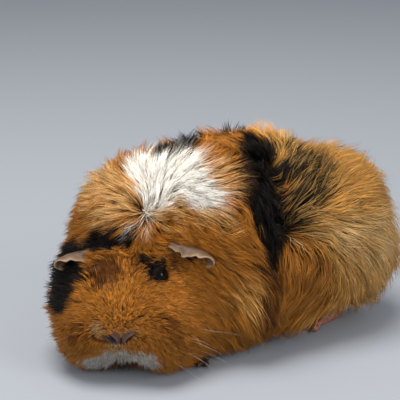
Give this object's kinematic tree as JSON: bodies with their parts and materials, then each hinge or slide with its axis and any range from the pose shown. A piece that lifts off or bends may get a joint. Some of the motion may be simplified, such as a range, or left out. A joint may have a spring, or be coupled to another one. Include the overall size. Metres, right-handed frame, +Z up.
{
  "type": "guinea pig",
  "caption": "Life-size long-coated guinea pig with whorled ginger, white and black fur, crouching on its feet with its head turned to its left.",
  "frame": {"origin": "on the floor, under the middle of the animal's box", "axes": "+Z up; the animal faces -Y; its left side is +X; millimetres in the source, metres here"},
  "size_m": [0.1379, 0.2246, 0.1269],
  "materials": {
    "coat_white": "long silky coat, off white",
    "coat_ginger": "long coat, ginger",
    "coat_face": "short nap, ginger brown",
    "coat_black": "long coat, black",
    "coat_chin": "short soft coat, greyish white",
    "ear_skin": "thin bare skin",
    "nose_skin": "moist skin",
    "paw_dark": "dark bare skin",
    "paw_pink": "pinkish bare skin",
    "eye": "wet, near black",
    "claw": "horn"
  },
  "bodies": {
    "root": {"barrel": "coat_black", "chin": "coat_chin", "claw_forefoot_left_1": "claw", "claw_forefoot_left_2": "claw", "claw_forefoot_left_3": "claw", "claw_forefoot_left_4": "claw", "claw_forefoot_right_1": "claw", "claw_forefoot_right_2": "claw", "claw_forefoot_right_3": "claw", "claw_forefoot_right_4": "claw", "claw_hindfoot_left_1": "claw", "claw_hindfoot_left_2": "claw", "claw_hindfoot_left_3": "claw", "claw_hindfoot_right_1": "claw", "claw_hindfoot_right_2": "claw", "claw_hindfoot_right_3": "claw", "ear_left": "ear_skin", "ear_right": "ear_skin", "eye_left": "eye", "eye_right": "eye", "forefoot_left": "paw_dark", "forefoot_right": "paw_dark", "foreleg_left": "coat_ginger", "foreleg_right": "coat_ginger", "haunch_left": "coat_ginger", "haunch_right": "coat_ginger", "head": "coat_face", "hindfoot_left": "paw_pink", "hindfoot_right": "paw_pink", "muzzle": "coat_face", "neck": "coat_white", "nose": "nose_skin", "rump": "coat_ginger", "shoulders": "coat_ginger", "throat": "coat_face"}
  },
  "joints": []
}
